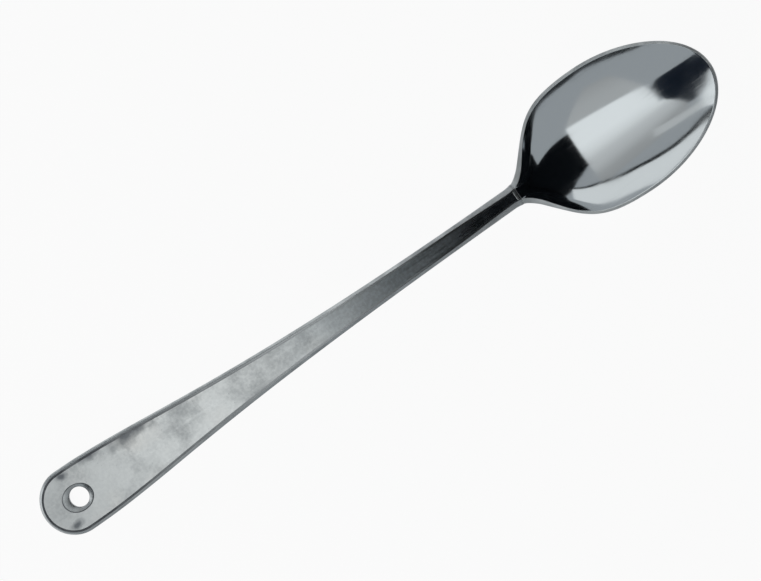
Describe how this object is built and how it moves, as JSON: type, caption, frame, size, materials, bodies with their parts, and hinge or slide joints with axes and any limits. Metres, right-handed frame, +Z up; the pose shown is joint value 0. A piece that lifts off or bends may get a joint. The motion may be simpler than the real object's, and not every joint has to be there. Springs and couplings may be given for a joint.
{
  "type": "serving spoon",
  "caption": "Long-handled stainless steel serving spoon with an egg-shaped bowl and a flat tapering handle that ends in a round tail with a hanging hole.",
  "frame": {"origin": "middle of the spoon's box, on the table that it lies on", "axes": "+X along the spoon towards the bowl, +Y across it, +Z up out of the bowl"},
  "size_m": [0.3001, 0.0542, 0.031],
  "materials": {
    "mirror_steel": "stainless steel, mirror polished, with fine wiping scratches",
    "weld_steel": "stainless steel seam, ground flush and polished",
    "satin_steel": "stainless steel, satin, clouded and scratched with use, bevels polished"
  },
  "bodies": {
    "root": {"bowl": "mirror_steel", "neck_weld": "weld_steel", "handle": "satin_steel"}
  },
  "joints": []
}
